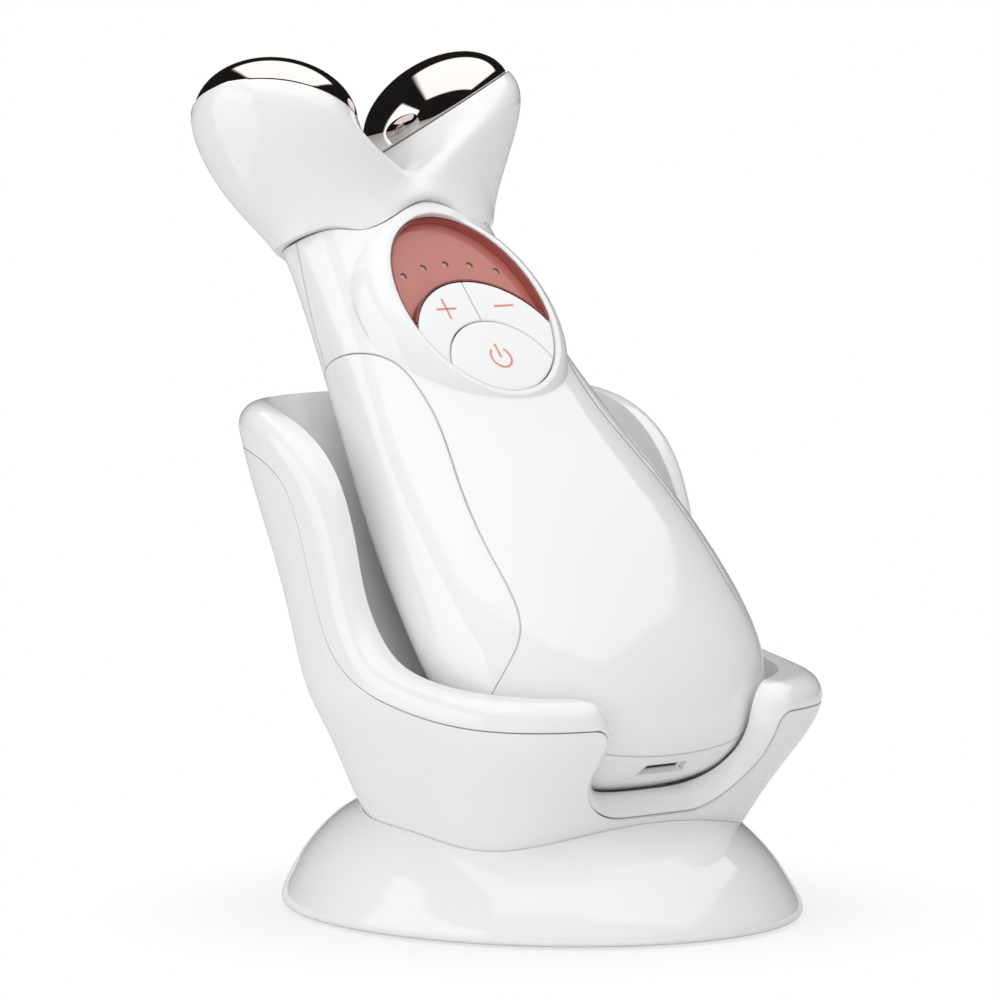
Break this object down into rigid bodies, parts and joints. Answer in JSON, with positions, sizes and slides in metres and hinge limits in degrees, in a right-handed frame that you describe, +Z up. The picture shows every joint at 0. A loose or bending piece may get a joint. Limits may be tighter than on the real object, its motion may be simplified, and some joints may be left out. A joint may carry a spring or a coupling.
{
  "type": "face lifting device",
  "caption": "Hand-held face lifting device with two domed metal electrodes on a forked head, three push keys and a light window, leaning in its stand.",
  "frame": {"origin": "on the table under the middle of the base", "axes": "+Z up, -Y towards the front of the stand, +X to the right seen from the front"},
  "size_m": [0.094, 0.126, 0.1634],
  "materials": {
    "body_white": "high gloss white moulding",
    "stand_white": "high gloss white moulding",
    "button_white": "gloss white with a printed symbol",
    "window_red": "translucent red window",
    "lens": "clear light pipe",
    "electrode": "mirror chrome",
    "metal": "zinc plated steel",
    "contact": "plated contact",
    "board": "solder mask",
    "switch": "black switch case",
    "inner_plastic": "unpainted moulding",
    "cell": "foil pouch",
    "lead": "insulated lead",
    "weight": "bare iron",
    "foot": "soft rubber"
  },
  "bodies": {
    "stand": {"outer_shell": "stand_white", "seat_liner": "stand_white", "base_skirt": "stand_white", "base_plate": "inner_plastic", "ballast": "weight", "foot_pads": "foot", "seat_screws": "metal", "plate_screws": "metal"},
    "handset": {"front_cover": "body_white", "back_cover": "body_white", "left_grip": "body_white", "right_grip": "body_white", "light_window": "window_red", "light_pipes": "lens", "light_chips": "lens", "tact_switches": "switch", "control_board": "board", "inner_frame": "inner_plastic", "battery": "cell", "case_screws": "metal", "charge_socket": "metal", "neck_plate": "inner_plastic", "neck_pins": "contact"},
    "plus_key": {"plus_button": "button_white"},
    "minus_key": {"minus_button": "button_white"},
    "power_key": {"power_button": "button_white"},
    "head": {"head_housing": "body_white", "left_electrode": "electrode", "right_electrode": "electrode", "electrode_nuts": "metal", "head_leads": "lead", "head_plug": "inner_plastic"}
  },
  "joints": [
    {"name": "handset_lift", "type": "slide", "parent": "stand", "child": "handset", "axis": [0, 0.6494, 0.7604], "range_m": [0, 0.1]},
    {"name": "head_pull", "type": "slide", "parent": "handset", "child": "head", "axis": [0, 0.6494, 0.7604], "range_m": [0, 0.03]},
    {"name": "plus_press", "type": "slide", "parent": "handset", "child": "plus_key", "axis": [0, 0.7604, -0.6494], "range_m": [0, 0.00045], "stiffness_N_per_m": 800},
    {"name": "minus_press", "type": "slide", "parent": "handset", "child": "minus_key", "axis": [0, 0.7604, -0.6494], "range_m": [0, 0.00045], "stiffness_N_per_m": 800},
    {"name": "power_press", "type": "slide", "parent": "handset", "child": "power_key", "axis": [0, 0.7604, -0.6494], "range_m": [0, 0.00045], "stiffness_N_per_m": 800}
  ]
}
